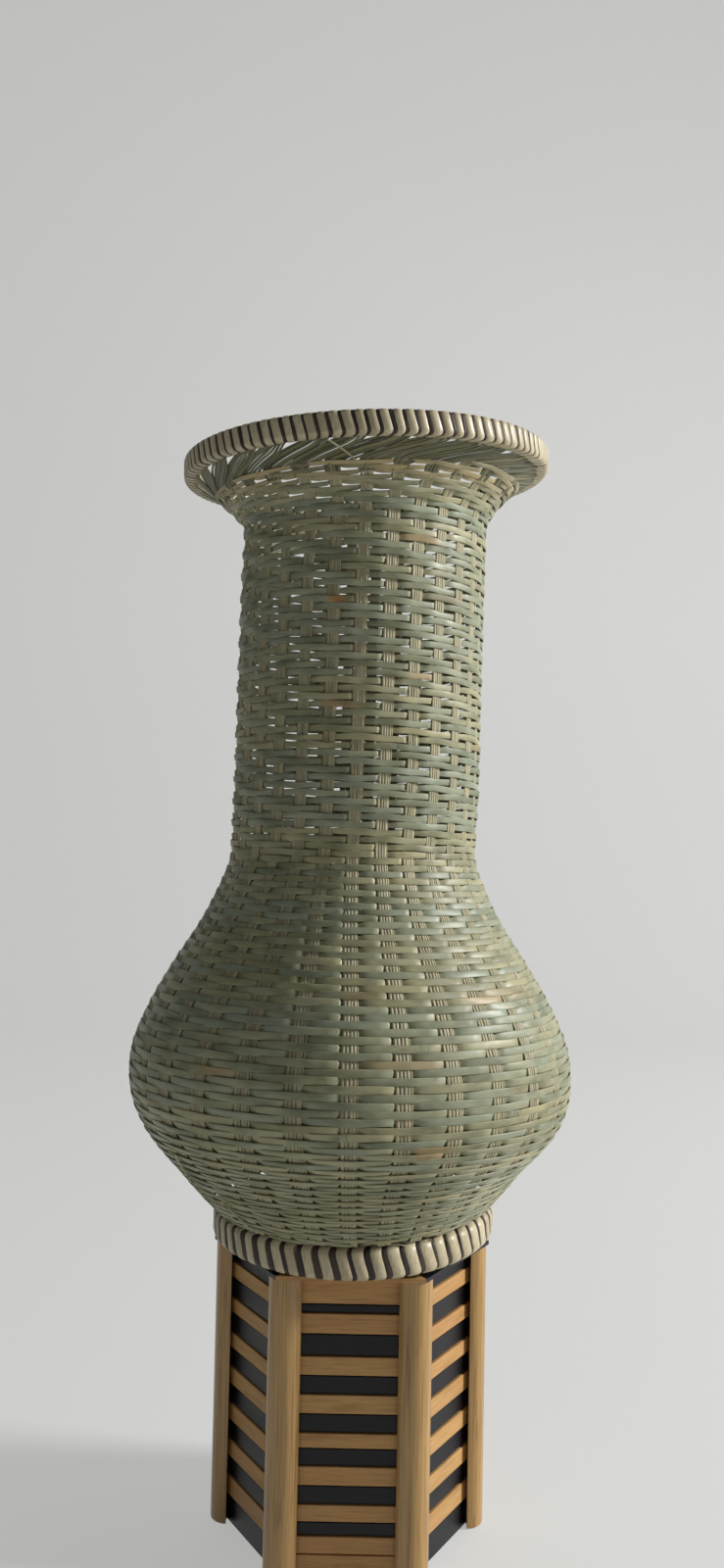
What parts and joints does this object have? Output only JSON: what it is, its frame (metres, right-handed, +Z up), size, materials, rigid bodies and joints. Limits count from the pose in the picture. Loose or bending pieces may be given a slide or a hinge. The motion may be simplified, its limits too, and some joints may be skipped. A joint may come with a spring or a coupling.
{
  "type": "woven bamboo vase on a stand",
  "caption": "Hand-woven bamboo vase with a round belly, tall neck and strip-bound flared rim, on a six-sided slatted bamboo stand that it lifts off.",
  "frame": {"origin": "on the ground, on the axis of the stand and the vase", "axes": "+Z up along the axis, a face of the stand looks along -Y"},
  "size_m": [0.19, 0.19, 0.463],
  "materials": {
    "green_weft": "satin",
    "split_stake": "satin",
    "hoop_cane": "satin",
    "pale_strip": "satin",
    "dark_strip": "satin",
    "cane_post": "gloss",
    "natural_slat": "satin",
    "black_slat": "gloss"
  },
  "bodies": {
    "stand": {"corner_post_1": "cane_post", "corner_post_2": "cane_post", "corner_post_3": "cane_post", "corner_post_4": "cane_post", "corner_post_5": "cane_post", "corner_post_6": "cane_post", "natural_slats_1": "natural_slat", "natural_slats_2": "natural_slat", "natural_slats_3": "natural_slat", "natural_slats_4": "natural_slat", "natural_slats_5": "natural_slat", "natural_slats_6": "natural_slat", "black_slats_1": "black_slat", "black_slats_2": "black_slat", "black_slats_3": "black_slat", "black_slats_4": "black_slat", "black_slats_5": "black_slat", "black_slats_6": "black_slat", "top_board": "natural_slat", "board_edging_natural": "natural_slat", "board_edging_black": "black_slat"},
    "vase": {"lower_belly_weave": "green_weft", "upper_belly_weave": "green_weft", "neck_weave": "green_weft", "mouth_weave": "green_weft", "mouth_border": "split_stake", "uprights": "split_stake", "woven_floor": "split_stake", "rim_hoop_outer": "hoop_cane", "rim_hoop_inner": "hoop_cane", "foot_hoop": "hoop_cane", "rim_binding_pale": "pale_strip", "foot_binding_pale": "pale_strip", "rim_binding_dark": "dark_strip", "foot_binding_dark": "dark_strip"}
  },
  "joints": [
    {"name": "vase_lift", "type": "slide", "parent": "stand", "child": "vase", "axis": [0, 0, 1], "range_m": [0, 0.08]}
  ]
}
